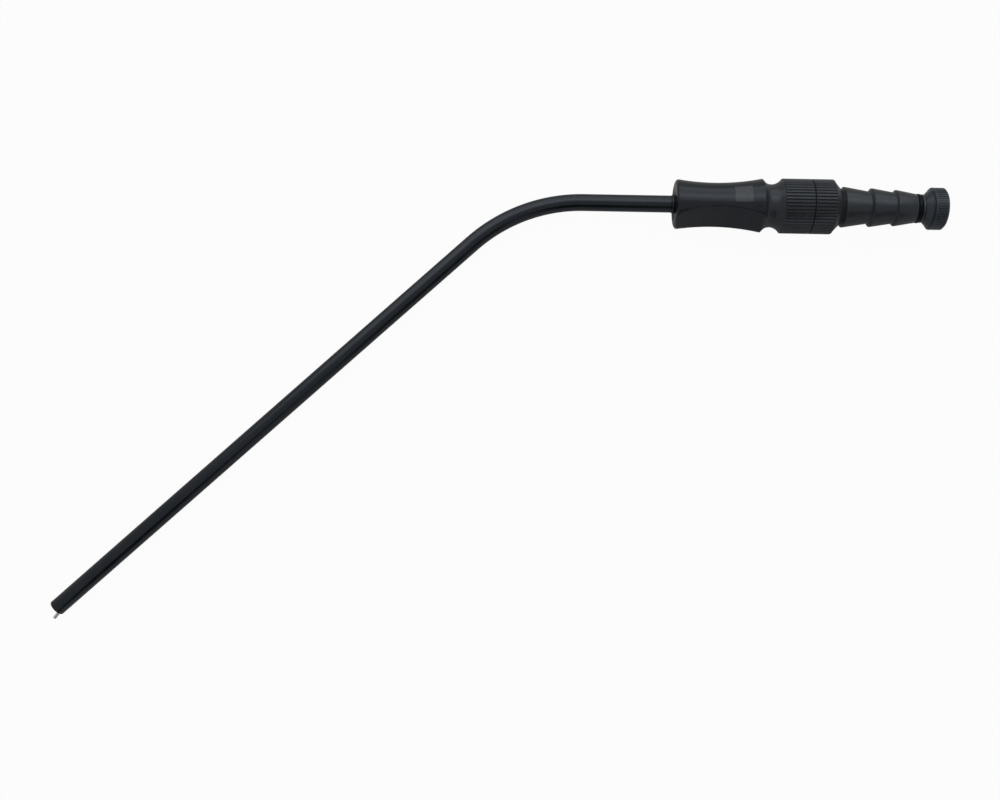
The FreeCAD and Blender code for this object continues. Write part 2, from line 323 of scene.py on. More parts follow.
def start_ring(name, points, x, radius):
    """A ring of points about the handle's axis, in edit mode and selected. Sizes in mm."""
    bpy.ops.object.select_all(action="DESELECT")
    bpy.ops.mesh.primitive_circle_add(
        vertices=points,
        radius=radius * MM,
        location=(x * MM, 0, 0),
        rotation=(0, math.pi / 2, 0),
    )
    piece = bpy.context.object
    piece.name = name
    piece.data.name = name
    bpy.ops.object.transform_apply(location=True, rotation=True, scale=True)
    bpy.ops.object.mode_set(mode="EDIT")
    bpy.ops.mesh.select_all(action="SELECT")
    return piece


def draw_on(way):
    """Draw the selected ring on by a vector, in metres."""
    bpy.ops.mesh.extrude_edges_move(TRANSFORM_OT_translate={"value": way})


def draw_ring(dx, factor):
    """Draw the selected ring on along the axis in mm, and scale it about the axis."""
    draw_on((dx * MM, 0, 0))
    if not math.isclose(factor, 1.0):
        bpy.ops.transform.resize(value=(1.0, factor, factor), center_override=(0, 0, 0))


def lathe(name, points, outline, closed=True):
    """A turned piece: a ring drawn along the whole outline. A closed outline comes back to its
    start. Otherwise its last ring is drawn in to the axis."""
    x, r = outline[0]
    piece = start_ring(name, points, x, r)
    stations = outline[1:] + (outline[:1] if closed else [])
    for next_x, next_r in stations:
        draw_ring(next_x - x, next_r / r)
        x, r = next_x, next_r
    if not closed:
        bpy.ops.mesh.merge(type="CENTER")
    tidy_mesh()
    return piece


def tidy_mesh():
    """Merge points that meet and turn all faces outwards, in edit mode."""
    bpy.ops.mesh.select_all(action="SELECT")
    bpy.ops.mesh.remove_doubles(threshold=MERGE)
    bpy.ops.mesh.normals_make_consistent(inside=False)


def choose(piece, test):
    """Select the points that pass a test, in edit mode."""
    bpy.ops.mesh.select_all(action="DESELECT")
    mesh = bmesh.from_edit_mesh(piece.data)
    for vert in mesh.verts:
        if test(vert.co):
            vert.select = True
    mesh.select_flush(True)
    bmesh.update_edit_mesh(piece.data)


def groove_point(co, points):
    """Which of a groove's points this one is."""
    turn = math.atan2(co.y, co.z) / (2.0 * math.pi)
    return round(turn * points) % POINTS_PER_GROOVE


def press_grooves(piece, points, section, stations, radius, depth):
    """Press straight grooves into the rim between two stations, in edit mode. Sizes in mm."""
    bpy.ops.mesh.select_mode(type="VERT")
    x_from, x_to = stations
    for level in sorted(set(section) - {0.0}):
        chosen = [i for i, part in enumerate(section) if part == level]

        def in_groove(co):
            if not x_from < co.x / MM < x_to:
                return False
            if math.hypot(co.y, co.z) / MM < radius - depth:
                return False
            return groove_point(co, points) in chosen

        choose(piece, in_groove)
        factor = (radius - level * depth) / radius
        bpy.ops.transform.resize(value=(1.0, factor, factor), center_override=(0, 0, 0))
    bpy.ops.mesh.select_all(action="SELECT")


def keep_own_place(piece, own=None):
    """Keep each point's own place in mm as an attribute, for patterns that follow the piece."""
    mesh = piece.data
    attribute = mesh.attributes.new("own_place", "FLOAT_VECTOR", "POINT")
    for vert in mesh.vertices:
        place = vert.co / MM
        attribute.data[vert.index].vector = own(place) if own else place


def finish_piece(piece, place, angle, own=None):
    """Leave edit mode, smooth the shading, lay the piece down and keep its place in its mesh."""
    bpy.ops.object.mode_set(mode="OBJECT")
    bpy.ops.object.shade_smooth_by_angle(angle=math.radians(angle))
    keep_own_place(piece, own)
    piece.matrix_world = place
    bpy.ops.object.transform_apply(location=True, rotation=True, scale=True)


def apply_all(piece):
    """Apply a piece's modifiers in order."""
    for modifier in list(piece.modifiers):
        bpy.ops.object.modifier_apply(modifier=modifier.name)


def hand_over(piece, node, finish):
    """Dress a piece in a finish, let it ride on the part and stand for its CAD node."""
    piece.data.materials.clear()
    piece.data.materials.append(bpy.data.materials[finish])
    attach(piece, "root")
    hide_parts(node)


# Parts of the materials


def new_group(name, inputs, outputs):
    """A shader node group with named sockets, the values given to it and its results."""
    group = bpy.data.node_groups.new(name, "ShaderNodeTree")
    for label, kind, value in inputs:
        socket = group.interface.new_socket(name=label, in_out="INPUT", socket_type=kind)
        if value is not None:
            socket.default_value = value
    for label, kind in outputs:
        group.interface.new_socket(name=label, in_out="OUTPUT", socket_type=kind)
    given = group.nodes.new("NodeGroupInput").outputs
    results = group.nodes.new("NodeGroupOutput").inputs
    return group, given, results


def feed(tree, socket, value):
    """Join an input to another socket, or give it a plain value."""
    if isinstance(value, bpy.types.NodeSocket):
        tree.links.new(value, socket)
    else:
        socket.default_value = value


def node(tree, kind, links=None, **values):
    """Add a node, set its properties and feed its inputs."""
    made = tree.nodes.new(kind)
    for key, value in values.items():
        setattr(made, key, value)
    for label, value in (links or {}).items():
        feed(tree, made.inputs[label], value)
    return made


def maths(tree, operation, *values, clamp=False):
    """Work out a number and return the socket with the result."""
    links = dict(enumerate(values))
    return node(tree, "ShaderNodeMath", links, operation=operation, use_clamp=clamp).outputs[0]


def noise(tree, place, scale, detail, roughness=0.5):
    """Noise over a place. Returns the socket with its value."""
    links = {"Vector": place, "Scale": scale, "Detail": detail, "Roughness": roughness}
    return node(tree, "ShaderNodeTexNoise", links).outputs["Fac"]


def mix_colour(tree, factor, a, b):
    """Mix two colours and return the socket with the result."""
    mix = node(tree, "ShaderNodeMix", data_type="RGBA")
    colours = [s for s in mix.inputs if s.type == "RGBA"]
    feed(tree, next(s for s in mix.inputs if s.type == "VALUE"), factor)
    feed(tree, colours[0], a)
    feed(tree, colours[1], b)
    return next(s for s in mix.outputs if s.type == "RGBA")


def coat_tone_group():
    """Slow change of colour over a coat, and the colour of its worn edges."""
    group, given, results = new_group(
        "coat_tone",
        [
            ("Vector", "NodeSocketVector", None),
            ("Colour", "NodeSocketColor", (0.02, 0.02, 0.02, 1)),
            ("Second", "NodeSocketColor", (0.03, 0.03, 0.03, 1)),
            ("Worn", "NodeSocketColor", (0.1, 0.1, 0.1, 1)),
            ("Wear", "NodeSocketFloat", 0.0),
        ],
        [("Colour", "NodeSocketColor")],
    )
    slow = noise(group, given["Vector"], scale=0.28, detail=3.0, roughness=0.55)
    ramp = node(
        group,
        "ShaderNodeMapRange",
        {"Value": slow, "From Min": 0.38, "From Max": 0.64},
        interpolation_type="SMOOTHSTEP",
    )
    tone = mix_colour(group, ramp.outputs["Result"], given["Colour"], given["Second"])
    feed(group, results["Colour"], mix_colour(group, given["Wear"], tone, given["Worn"]))


def satin_group():
    """Fine blasted grain with faint turning or drawing lines: its roughness and its height."""
    group, given, results = new_group(
        "satin_grain",
        [
            ("Vector", "NodeSocketVector", None),
            ("Grain", "NodeSocketFloat", 8.0),
            ("Lines", "NodeSocketVector", (12.0, 0.4, 0.4)),
            ("Line Share", "NodeSocketFloat", 0.4),
            ("Roughness", "NodeSocketFloat", 0.35),
            ("Spread", "NodeSocketFloat", 0.08),
        ],
        [("Roughness", "NodeSocketFloat"), ("Height", "NodeSocketFloat")],
    )
    grain = noise(group, given["Vector"], scale=given["Grain"], detail=2.0)
    drawn = node(
        group,
        "ShaderNodeVectorMath",
        {0: given["Vector"], 1: given["Lines"]},
        operation="MULTIPLY",
    )
    lines = noise(group, drawn.outputs["Vector"], scale=1.0, detail=3.0)
    height = node(
        group, "ShaderNodeMix", {0: given["Line Share"], 2: grain, 3: lines}, data_type="FLOAT"
    ).outputs[0]
    cloud = noise(group, given["Vector"], scale=0.55, detail=4.0, roughness=0.6)
    centred = maths(group, "SUBTRACT", maths(group, "ADD", cloud, height), 1.0)
    rough = maths(group, "MULTIPLY_ADD", centred, given["Spread"], given["Roughness"])
    feed(group, results["Roughness"], rough)
    feed(group, results["Height"], height)


def wear_group():
    """Where edges stick out: a mask from the mesh's own sharpness, broken up by noise."""
    group, given, results = new_group(
        "edge_wear",
        [
            ("Vector", "NodeSocketVector", None),
            ("Start", "NodeSocketFloat", 0.57),
            ("Full", "NodeSocketFloat", 0.7),
            ("Amount", "NodeSocketFloat", 0.3),
        ],
        [("Mask", "NodeSocketFloat")],
    )
    sharp = node(group, "ShaderNodeNewGeometry").outputs["Pointiness"]
    edge = node(
        group,
        "ShaderNodeMapRange",
        {"Value": sharp, "From Min": given["Start"], "From Max": given["Full"]},
    )
    patchy = noise(group, given["Vector"], scale=1.7, detail=3.0)
    broken = maths(group, "MULTIPLY", edge.outputs["Result"], patchy)
    feed(group, results["Mask"], maths(group, "MULTIPLY", broken, given["Amount"], clamp=True))


def place_group(tree, name, links):
    """Put a shader group into a material."""
    return node(tree, "ShaderNodeGroup", links, node_tree=bpy.data.node_groups[name])


def new_material(name):
    """A new material's node tree, its shader and the socket with a piece's own place."""
    material = bpy.data.materials.new(name)
    material.use_nodes = True
    tree = material.node_tree
    tree.nodes.clear()
    shader = tree.nodes.new("ShaderNodeBsdfPrincipled")
    out = tree.nodes.new("ShaderNodeOutputMaterial")
    tree.links.new(shader.outputs["BSDF"], out.inputs["Surface"])
    own = node(tree, "ShaderNodeAttribute", attribute_name="own_place", attribute_type="GEOMETRY")
    return tree, shader, own.outputs["Vector"]


def rgba(value):
    """A colour setting with full opacity."""
    return (*value, 1.0)


def finish_shader(tree, shader, colour, roughness, height, bump):
    """Feed a shader its colour, its roughness and a height. The bump is how far the height
    reaches in mm, and its strength."""
    distance, strength = bump
    links = {"Height": height, "Distance": distance * MM, "Strength": strength}
    feed(tree, shader.inputs["Base Color"], colour)
    feed(tree, shader.inputs["Roughness"], roughness)
    feed(tree, shader.inputs["Normal"], node(tree, "ShaderNodeBump", links).outputs["Normal"])


TUBE_LOOK = {
    "wear": 0.0,
    "grain": 5.0,
    "lines": (0.25, 7.0, 7.0),
    "line_share": 0.55,
    "spread": 0.07,
    "specular": 0.5,
    "sheen": (0.75, 0.86, 1.0, 1.0),
    "bump": (0.004, 0.35),
}
BODY_LOOK = {
    "wear": 0.25,
    "grain": 7.0,
    "lines": (9.0, 0.5, 0.5),
    "line_share": 0.3,
    "spread": 0.1,
    "specular": 0.42,
    "sheen": (0.78, 0.87, 1.0, 1.0),
    "bump": (0.008, 0.4),
}


def coat_tone(tree, own, settings, coat, wear=0.0):
    """The colour of one of the coats in the settings, which hold its two tones."""
    links = {
        "Vector": own,
        "Colour": rgba(getattr(settings, coat)),
        "Second": rgba(getattr(settings, coat + "_tint")),
        "Worn": rgba(settings.worn),
        "Wear": wear,
    }
    return place_group(tree, "coat_tone", links).outputs["Colour"]


def coat_material(settings, name, coat, look):
    """A dark coat on metal: slow tone, fine grain with lines, and rubbed edges."""
    tree, shader, own = new_material(name)
    wear = place_group(tree, "edge_wear", {"Vector": own, "Amount": look["wear"]})
    tone = coat_tone(tree, own, settings, coat, wear.outputs["Mask"])
    grain = place_group(
        tree,
        "satin_grain",
        {
            "Vector": own,
            "Grain": look["grain"],
            "Lines": look["lines"],
            "Line Share": look["line_share"],
            "Roughness": getattr(settings, coat + "_roughness"),
            "Spread": look["spread"],
        },
    )
    shader.inputs["Specular Tint"].default_value = look["sheen"]
    shader.inputs["Specular IOR Level"].default_value = look["specular"]
    return tree, shader, own, tone, grain.outputs


def plain_coat(settings, name, coat, look):
    """The material of a piece that has one coat all over."""
    tree, shader, _, tone, grain = coat_material(settings, name, coat, look)
    finish_shader(tree, shader, tone, grain["Roughness"], grain["Height"], look["bump"])


def within(tree, value, middle, half, soft):
    """One where a value is within a half width of a middle, with soft ends."""
    off = maths(tree, "ABSOLUTE", maths(tree, "SUBTRACT", value, middle))
    links = {
        "Value": off,
        "From Min": half - soft,
        "From Max": half + soft,
        "To Min": 1.0,
        "To Max": 0.0,
    }
    return node(tree, "ShaderNodeMapRange", links).outputs["Result"]


def blank_field(tree, own, parts):
    """A small blasted square on the grip, which is left blank."""
    angle = maths(tree, "ARCTAN2", parts["Y"], parts["Z"])
    along = within(tree, parts["X"], *FIELD_ALONG)
    round_it = within(tree, angle, *FIELD_ROUND)
    square = maths(tree, "MULTIPLY", along, round_it)
    specks = noise(tree, own, scale=4.0, detail=2.0)
    return maths(tree, "MULTIPLY", square, specks)


def grip_material(settings):
    """The handle's blasted coat with the blank square, and the nozzle's coat behind the grip."""
    tree, shader, own, tone, grain = coat_material(settings, "grip_satin", "body", BODY_LOOK)
    parts = node(tree, "ShaderNodeSeparateXYZ", {"Vector": own}).outputs
    links = {"Value": parts["X"], "From Min": COAT_CHANGE[0], "From Max": COAT_CHANGE[1]}
    behind = node(tree, "ShaderNodeMapRange", links).outputs["Result"]
    field = blank_field(tree, own, parts)
    tone = mix_colour(tree, behind, tone, coat_tone(tree, own, settings, "nozzle"))
    tone = mix_colour(tree, field, tone, rgba(settings.field))
    duller = settings.nozzle_roughness - settings.body_roughness
    rough = maths(tree, "MULTIPLY_ADD", field, FIELD_DULLNESS, grain["Roughness"])
    rough = maths(tree, "MULTIPLY_ADD", behind, duller, rough)
    finish_shader(tree, shader, tone, rough, grain["Height"], BODY_LOOK["bump"])


def rubber_material(settings):
    """Black rubber, slightly glossy, with a fine mould texture."""
    tree, shader, own = new_material("black_rubber")
    mould = noise(tree, own, scale=3.0, detail=4.0)
    rough = node(tree, "ShaderNodeMapRange", {"Value": mould, "To Min": 0.2, "To Max": 0.34})
    tone = mix_colour(tree, mould, rgba(settings.rubber), rgba(settings.rubber_tint))
    shader.inputs["Specular IOR Level"].default_value = 0.13
    shader.inputs["Specular Tint"].default_value = (0.75, 0.87, 1.0, 1.0)
    finish_shader(tree, shader, tone, rough.outputs["Result"], mould, (0.01, 0.3))


def steel_material(settings):
    """Bare drawn steel wire, with fine lines along it."""
    tree, shader, own = new_material("drawn_steel")
    grain = place_group(
        tree,
        "satin_grain",
        {
            "Vector": own,
            "Grain": 12.0,
            "Lines": (0.3, 14.0, 14.0),
            "Line Share": 0.8,
            "Roughness": 0.34,
            "Spread": 0.15,
        },
    ).outputs
    tone = mix_colour(tree, grain["Height"], rgba(settings.steel), rgba(settings.steel_tint))
    shader.inputs["Metallic"].default_value = 1.0
    finish_shader(tree, shader, tone, grain["Roughness"], grain["Height"], (0.004, 0.4))


# Pieces


def nozzle_outline(sizes):
    """The hose nozzle's outline from its bore, round the collar and over three barbs, in mm."""
    rim, end = sizes.collar_radius / MM, sizes.nozzle_end / MM
    corners = [
        (23.85, 2.3, 0.0),
        (23.85, 4.2, 0.2),
        (31.45, 4.2, 0.0),
        (31.45, 5.8, 0.0),
        (31.64, 5.8, 0.0),
        (31.64, 6.27, 0.0),
        (31.76, rim, 0.0),
        (36.5, rim, 0.0),
        (36.6, 6.33, 0.0),
        (36.6, 6.2, 0.0),
        (38.35, 4.35, 0.3),
        (38.77, 4.14, 0.05),
        (39.18, 4.74, 0.04),
        (39.5, 4.73, 0.1),
        (45.22, 3.76, 0.05),
        (45.7, 4.51, 0.04),
        (46.0, 4.5, 0.1),
        (51.02, 3.65, 0.05),
        (51.38, 4.23, 0.04),
        (51.68, 4.21, 0.1),
        (end, 3.38, 0.1),
        (end, 2.3, 0.1),
    ]
    return eased(corners)


def knob_outline(sizes):
    """The stylet knob's outline from its hole, over plug, flange, cone and rim, in mm."""
    rim = sizes.knob_radius / MM
    corners = [
        (KNOB_HOLE_END, KNOB_HOLE_RADIUS, 0.0),
        (50.18, KNOB_HOLE_RADIUS, 0.05),
        (50.18, 2.25, 0.4),
        (57.32, 2.25, 0.05),
        (57.32, 3.32, 0.08),
        (57.77, 3.32, 0.08),
        (57.77, 2.97, 0.04),
        (57.92, 2.97, 0.04),
        (59.28, 4.38, 0.08),
        (59.36, 4.28, 0.04),
        (59.56, 4.28, 0.04),
        (59.64, 4.85, 0.04),
        (59.76, rim, 0.03),
        (59.98, rim, 0.03),
        (60.03, 4.9, 0.0),
        (60.1, 4.91, 0.0),
        (62.4, 4.91, 0.0),
        (62.48, 4.83, 0.0),
        (62.48, 4.7, 0.0),
        (62.88, 4.45, 0.15),
        (62.88, 2.4, 0.0),
        (62.88, 0.6, 0.0),
    ]
    return eased(corners)


def grip_outline(sizes):
    """The handle's outline from its bore, over boss, waist, neck and collar, in mm."""
    rim = sizes.collar_radius / MM
    corners = [(23.55, 1.5, 0.0), (14.0, 1.5, 0.0), (14.0, 2.03, 0.0), (-1.02, 2.03, 0.0)]
    corners += [(-1.02, 2.08, 0.03), (-0.94, 2.19, 0.04), (-0.4, 2.19, 0.04), (-0.32, 2.1, 0.03)]
    corners += [(0.3, 2.1, 0.05), (-0.1, 2.95, 0.15), (-0.4, 4.2, 0.3), (-0.32, 5.2, 0.25)]
    corners += [(0.02, 5.74, 0.15), (0.5, 5.81, 0.1)]
    corners += curve_through((0.5, 5.81), (8.6, 5.17), (20.0, 6.28), 40)[1:]
    corners += [(20.0, 6.28, 0.06), (20.75, 5.5, 0.0)]
    corners += curve_through((20.75, 5.5), (22.2, 5.02), (23.85, 5.53), 14)
    corners += [(23.85, 5.53, 0.0), (24.7, 6.12, 0.0), (24.7, 6.31, 0.0), (24.8, rim, 0.0)]
    corners += [(31.35, rim, 0.0), (31.45, 6.27, 0.0), (31.45, 4.25, 0.0), (23.55, 4.25, 0.0)]
    return eased(corners)


class SUCTION_OT_tube(bpy.types.Operator):
    """Builds the bent tube: a ring drawn back, spun round the bend and drawn to the mouth"""

    bl_idname = "suction.tube"
    bl_label = "Tube"

    def execute(self, context):
        sizes = context.scene.suction_tube_sizes
        piece = start_ring("tube_shell", TUBE_POINTS, sizes.seat / MM, sizes.radius / MM)
        follow_bend(sizes, sizes.seat / MM, sizes.reach)
        tidy_mesh()
        bpy.ops.object.mode_set(mode="OBJECT")
        wall = piece.modifiers.new("wall", "SOLIDIFY")
        wall.thickness = sizes.wall
        wall.offset = -1.0
        wall.use_even_offset = True
        lip = piece.modifiers.new("lip", "BEVEL")
        lip.width = sizes.lip
        lip.segments = 3
        lip.limit_method = "ANGLE"
        lip.angle_limit = math.radians(60)
        apply_all(piece)
        bpy.ops.object.mode_set(mode="EDIT")
        finish_piece(piece, resting_place(context), TUBE_SMOOTH, along_tube(sizes))
        hand_over(piece, "suction_tube", "coated_tube_satin")
        return {"FINISHED"}


def heading(angle):
    """Which way the tube runs once it has turned by an angle."""
    return Vector((-math.cos(angle), -math.sin(angle), 0))


def inward(angle):
    """The way to the inner side of the bend after the same turn."""
    return Vector((math.sin(angle), -math.cos(angle), 0))


def bend_end(sizes):
    """Where the tube's middle line leaves the bend, in metres."""
    x = -sizes.straight - sizes.bend_radius * math.sin(sizes.bend)
    y = sizes.bend_radius * (math.cos(sizes.bend) - 1.0)
    return Vector((x, y, 0))


def follow_bend(sizes, x, reach):
    """Draw the selected ring from x (mm) to the bend, round it and on for a reach (m)."""
    draw_ring(-sizes.straight / MM - x, 1.0)
    bpy.ops.mesh.spin(
        steps=BEND_STEPS,
        angle=sizes.bend,
        center=(-sizes.straight, -sizes.bend_radius, 0),
        axis=(0, 0, -1),
    )
    for _ in range(REACH_STEPS):
        draw_on(heading(sizes.bend) * reach / REACH_STEPS)


def along_tube(sizes):
    """Turn a place in mm into distance along the tube and place across it, in mm."""
    straight, radius = sizes.straight / MM, sizes.bend_radius / MM
    end = bend_end(sizes) / MM
    to_mouth, inner = heading(sizes.bend), inward(sizes.bend)

    def own(place):
        if place.x > -straight:
            return (-place.x, place.y, place.z)
        past = place - end
        run = past.dot(to_mouth)
        if run > 0:
            return (straight + radius * sizes.bend + run, -past.dot(inner), place.z)
        from_centre = Vector((place.x + straight, place.y + radius))
        angle = math.atan2(-from_centre.x, from_centre.y)
        return (straight + radius * angle, from_centre.length - radius, place.z)

    return own


class SUCTION_OT_wire(bpy.types.Operator):
    """Builds the stylet's wire, which swings to the tube's inner wall before the mouth"""

    bl_idname = "suction.wire"
    bl_label = "Wire"

    def execute(self, context):
        sizes = context.scene.suction_tube_sizes
        clear = sizes.radius - sizes.wall - sizes.wire_radius - sizes.wire_gap
        swing_radius = clear / (1.0 - math.cos(sizes.swing))
        reach = sizes.reach - swing_radius * math.sin(sizes.swing)
        start = sizes.wire_start / MM
        piece = start_ring("stylet_rod", WIRE_POINTS, start, sizes.wire_radius / MM)
        follow_bend(sizes, start, reach)
        centre = bend_end(sizes) + heading(sizes.bend) * reach + inward(sizes.bend) * swing_radius
        bpy.ops.mesh.spin(steps=SWING_STEPS, angle=sizes.swing, center=centre, axis=(0, 0, -1))
        ahead = heading(sizes.bend + sizes.swing)
        draw_on(ahead * (sizes.showing - sizes.burr))
        draw_on(ahead * sizes.burr)
        scale = 1.0 - sizes.burr / sizes.wire_radius
        bpy.ops.transform.resize(value=(scale, scale, scale))
        bpy.ops.mesh.edge_face_add()
        choose(piece, lambda co: co.x > sizes.wire_start - CLOSE)
        bpy.ops.mesh.edge_face_add()
        tidy_mesh()
        finish_piece(piece, resting_place(context), WIRE_SMOOTH, along_tube(sizes))
        hand_over(piece, "stylet_wire", "drawn_steel")
        return {"FINISHED"}


class SUCTION_OT_handle(bpy.types.Operator):
    """Builds the handle: boss, waisted grip with two scoops, neck and front half of the collar"""

    bl_idname = "suction.handle"
    bl_label = "Handle"

    def execute(self, context):
        sizes = context.scene.suction_turned_sizes
        points = sizes.collar_grooves * POINTS_PER_GROOVE
        piece = lathe("grip_body", points, grip_outline(sizes))
        radius, depth = sizes.collar_radius / MM, sizes.collar_depth / MM
        press_grooves(piece, points, COLLAR_SECTION, FRONT_KNURL, radius, depth)
        bpy.ops.object.mode_set(mode="OBJECT")
        self.press_scoop(piece, sizes, "upper_scoop", sizes.scoop_turn)
        self.press_scoop(piece, sizes, "lower_scoop", sizes.scoop_turn + math.pi)
        bpy.ops.object.mode_set(mode="EDIT")
        finish_piece(piece, resting_place(context), TURNED_SMOOTH)
        hand_over(piece, "handle", "grip_satin")
        return {"FINISHED"}

    def press_scoop(self, piece, sizes, name, turn):
        """Press one finger scoop into the grip. The piece is turned until the scoop faces up,
        and a weighted Displace lowers all that stands above the scoop's floor."""
        facing = Matrix.Rotation(-turn, 3, "X")
        group = piece.vertex_groups.new(name=name)
        for vert in piece.data.vertices:
            if not SCOOP_SPAN[0] < vert.co.x / MM < SCOOP_SPAN[1]:
                continue
            height = (facing @ vert.co).z
            depth = pressed(height - scoop_height(sizes, vert.co.x), sizes.scoop_ease)
            if depth > 0.0:
                group.add([vert.index], depth / sizes.scoop_press, "REPLACE")
        piece.rotation_euler = (-turn, 0, 0)
        press = piece.modifiers.new(name, "DISPLACE")
        press.direction = "Z"
        press.space = "GLOBAL"
        press.mid_level = 0.0
        press.strength = -sizes.scoop_press
        press.vertex_group = name
        bpy.context.view_layer.update()
        bpy.ops.object.modifier_apply(modifier=press.name)
        piece.vertex_groups.remove(piece.vertex_groups[name])
        piece.rotation_euler = (0, 0, 0)


def scoop_height(sizes, x):
    """How far the scoop's floor is from the handle's axis at a station, in metres."""
    off = x - sizes.scoop_middle
    radius = sizes.scoop_radius
    return sizes.scoop_floor + radius - math.sqrt(radius * radius - off * off)


def pressed(over, ease):
    """How far a point goes down that stands a height over the floor, with an eased edge."""
    if over <= -ease:
        return 0.0
    if over >= ease:
        return over
    return (over + ease) ** 2 / (4.0 * ease)


class SUCTION_OT_nozzle(bpy.types.Operator):
    """Builds the hose nozzle: spigot, rear half of the collar, cone and three barbs"""

    bl_idname = "suction.nozzle"
    bl_label = "Hose Nozzle"

    def execute(self, context):
        sizes = context.scene.suction_turned_sizes
        points = sizes.collar_grooves * POINTS_PER_GROOVE
        piece = lathe("nozzle_body", points, nozzle_outline(sizes))
        radius, depth = sizes.collar_radius / MM, sizes.collar_depth / MM
        press_grooves(piece, points, COLLAR_SECTION, REAR_KNURL, radius, depth)
        finish_piece(piece, resting_place(context), TURNED_SMOOTH)
        hand_over(piece, "hose_nozzle", "nozzle_satin")
        return {"FINISHED"}


class SUCTION_OT_knob(bpy.types.Operator):
    """Builds the stylet's knob: plug, flange, cone and knurled rim"""

    bl_idname = "suction.knob"
    bl_label = "Stylet Knob"

    def execute(self, context):
        sizes = context.scene.suction_turned_sizes
        points = sizes.knob_grooves * POINTS_PER_GROOVE
        piece = lathe("knob_body", points, knob_outline(sizes), closed=False)
        hole_end = Vector((KNOB_HOLE_END, 0, 0)) * MM
        choose(piece, lambda co: (co - hole_end).length < KNOB_HOLE_RADIUS * MM + CLOSE)
        bpy.ops.mesh.edge_face_add()
        radius, depth = sizes.knob_radius / MM, sizes.knob_depth / MM
        press_grooves(piece, points, KNOB_SECTION, KNOB_KNURL, radius, depth)
        bpy.ops.mesh.normals_make_consistent(inside=False)
        finish_piece(piece, resting_place(context), TURNED_SMOOTH)
        hand_over(piece, "stylet_knob", "knob_satin")
        return {"FINISHED"}


def flattened(value, power):
    """A sine or cosine raised to a power with its sign kept, which flattens a round section."""
    return math.copysign(abs(value) ** power, value)


class SUCTION_OT_seal(bpy.types.Operator):
    """Builds the sealing ring between the nozzle's end and the knob's flange"""

    bl_idname = "suction.seal"
    bl_label = "Sealing Ring"

    def execute(self, context):
        sizes = context.scene.suction_turned_sizes
        middle_x, middle_r = sizes.seal_middle / MM, sizes.seal_radius / MM
        half_width, half_height = 0.5 * sizes.seal_width / MM, 0.5 * sizes.seal_height / MM
        outline = []
        for i in range(SEAL_SECTION_POINTS):
            angle = 2.0 * math.pi * i / SEAL_SECTION_POINTS
            x = middle_x + half_width * flattened(math.cos(angle), SEAL_ROUND_ALONG)
            r = middle_r + half_height * flattened(math.sin(angle), SEAL_ROUND_ACROSS)
            outline.append((x, r))
        piece = lathe("sealing_ring", SEAL_POINTS, outline)
        finish_piece(piece, resting_place(context), SEAL_SMOOTH)
        hand_over(piece, "stylet_seal", "black_rubber")
        return {"FINISHED"}


class SUCTION_OT_finishes(bpy.types.Operator):
    """Makes the coats, the rubber and the bare steel"""

    bl_idname = "suction.finishes"
    bl_label = "Finishes"

    def execute(self, context):
        settings = context.scene.suction_finish
        coat_tone_group()
        satin_group()
        wear_group()
        plain_coat(settings, "coated_tube_satin", "tube", TUBE_LOOK)
        grip_material(settings)
        plain_coat(settings, "nozzle_satin", "nozzle", BODY_LOOK)
        plain_coat(settings, "knob_satin", "knob", BODY_LOOK)
        rubber_material(settings)
        steel_material(settings)
        return {"FINISHED"}


# Stage


def softbox(name, size, place, aim, level):
    """A rectangular lamp of a radiance, which looks at a point."""
    bpy.ops.object.light_add(type="AREA", location=place)
    lamp = bpy.context.object
    lamp.name = name
    lamp.data.shape = "RECTANGLE"
    lamp.data.size, lamp.data.size_y = size
    lamp.data.energy = level * math.pi * size[0] * size[1]
    lamp.rotation_euler = (Vector(aim) - Vector(place)).to_track_quat("-Z", "Y").to_euler()


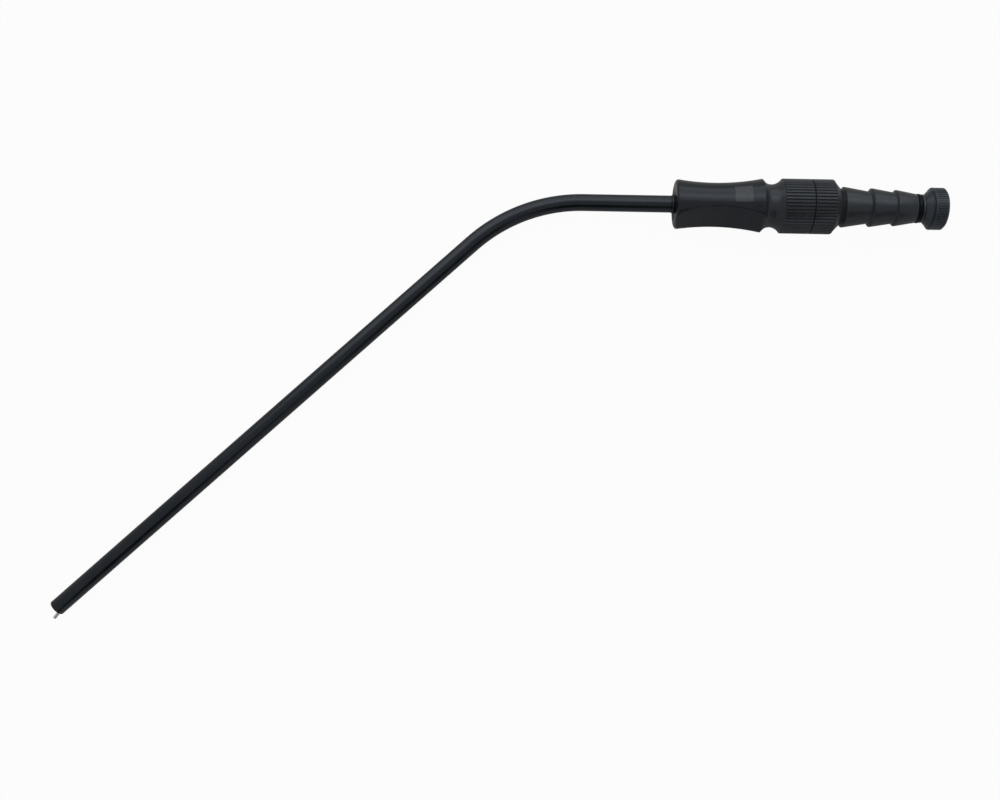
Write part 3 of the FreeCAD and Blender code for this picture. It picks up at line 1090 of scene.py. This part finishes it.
class SUCTION_OT_stage(bpy.types.Operator):
    """Adds the floor, the lamps, the surrounding light and the camera"""

    bl_idname = "suction.stage"
    bl_label = "Stage"

    def execute(self, context):
        settings = context.scene.suction_stage
        self.add_floor(settings)
        self.add_world(context, settings)
        softbox("side_softbox", *SIDE_SOFTBOX, settings.side_level)
        softbox("high_softbox", *HIGH_SOFTBOX, settings.high_level)
        self.add_cards()
        self.add_camera(context, settings)
        context.scene.view_settings.view_transform = "Standard"
        return {"FINISHED"}

    def add_floor(self, settings):
        """A wide plain floor, lifted to white for the camera and for reflections."""
        bpy.ops.mesh.primitive_plane_add(size=FLOOR_SIZE, location=(0, 0, 0))
        floor = bpy.context.object
        floor.name = "floor"
        material = bpy.data.materials.new("pale_floor")
        material.use_nodes = True
        tree = material.node_tree
        tree.nodes.clear()
        out = tree.nodes.new("ShaderNodeOutputMaterial")
        matte = node(tree, "ShaderNodeBsdfDiffuse", {"Color": rgba(settings.floor_colour)})
        white = node(tree, "ShaderNodeEmission", {"Color": (1, 1, 1, 1), "Strength": 1.0})
        path = tree.nodes.new("ShaderNodeLightPath").outputs
        seen = maths(tree, "MAXIMUM", path["Is Camera Ray"], path["Is Transmission Ray"])
        direct = maths(tree, "MULTIPLY", seen, settings.floor_lift)
        reflected = maths(tree, "MULTIPLY", path["Is Glossy Ray"], settings.floor_gloss)
        lift = maths(tree, "MAXIMUM", direct, reflected)
        links = {0: lift, 1: matte.outputs[0], 2: white.outputs[0]}
        feed(tree, out.inputs["Surface"], node(tree, "ShaderNodeMixShader", links).outputs[0])
        floor.data.materials.append(material)

    def add_cards(self):
        """Two black cards beside the camera, which show only as a dark line in the coats."""
        material = bpy.data.materials.new("black_card")
        material.use_nodes = True
        shader = material.node_tree.nodes["Principled BSDF"]
        shader.inputs["Base Color"].default_value = (0.01, 0.01, 0.01, 1.0)
        shader.inputs["Roughness"].default_value = 1.0
        for name, place, width in CARDS:
            turn = Vector(place).to_track_quat("Z", "Y").to_euler()
            bpy.ops.mesh.primitive_plane_add(size=1.0, location=place, rotation=turn)
            card = bpy.context.object
            card.name = name
            card.scale = (width, CARD_HEIGHT, 1.0)
            card.data.materials.append(material)
            card.visible_camera = False
            card.visible_diffuse = False
            card.visible_shadow = False

    def add_world(self, context, settings):
        """Even light from all round."""
        world = bpy.data.worlds.new("surrounding_light")
        world.use_nodes = True
        back = world.node_tree.nodes["Background"]
        level = settings.world_level
        back.inputs["Color"].default_value = (level, level, level, 1.0)
        back.inputs["Strength"].default_value = 1.0
        context.scene.world = world

    def add_camera(self, context, settings):
        """The camera looks straight down, a little turned."""
        bpy.ops.object.camera_add(
            location=settings.camera_place, rotation=(0, 0, settings.camera_turn)
        )
        camera = bpy.context.object
        camera.name = "camera"
        camera.data.sensor_width = 36.0
        camera.data.sensor_fit = "HORIZONTAL"
        camera.data.lens = settings.camera_lens
        camera.data.clip_start = 0.01
        context.scene.camera = camera


class SUCTION_PT_panel(bpy.types.Panel):
    """Lists the steps in the order in which they run"""

    bl_idname = "SUCTION_PT_panel"
    bl_label = "Suction Tube"
    bl_space_type = "VIEW_3D"
    bl_region_type = "UI"
    bl_category = "Suction Tube"

    def draw(self, context):
        for step in STEPS:
            self.layout.operator(step.bl_idname)


SETTINGS = {
    "suction_tube_sizes": SUCTION_PG_tube,
    "suction_turned_sizes": SUCTION_PG_turned,
    "suction_finish": SUCTION_PG_finish,
    "suction_stage": SUCTION_PG_stage,
}
STEPS = (
    SUCTION_OT_finishes,
    SUCTION_OT_tube,
    SUCTION_OT_wire,
    SUCTION_OT_handle,
    SUCTION_OT_nozzle,
    SUCTION_OT_knob,
    SUCTION_OT_seal,
    SUCTION_OT_stage,
)
CLASSES = (*SETTINGS.values(), *STEPS, SUCTION_PT_panel)


def register():
    """Registers the classes and puts the settings on the scene."""
    for cls in CLASSES:
        bpy.utils.register_class(cls)
    for name, cls in SETTINGS.items():
        setattr(bpy.types.Scene, name, bpy.props.PointerProperty(type=cls))


def unregister():
    """Takes the settings and the classes away again."""
    for name in SETTINGS:
        delattr(bpy.types.Scene, name)
    for cls in reversed(CLASSES):
        bpy.utils.unregister_class(cls)


def main():
    """Runs every step in order."""
    register()
    for step in STEPS:
        group, name = step.bl_idname.split(".")
        getattr(getattr(bpy.ops, group), name)()


if __name__ == "__main__":
    main()
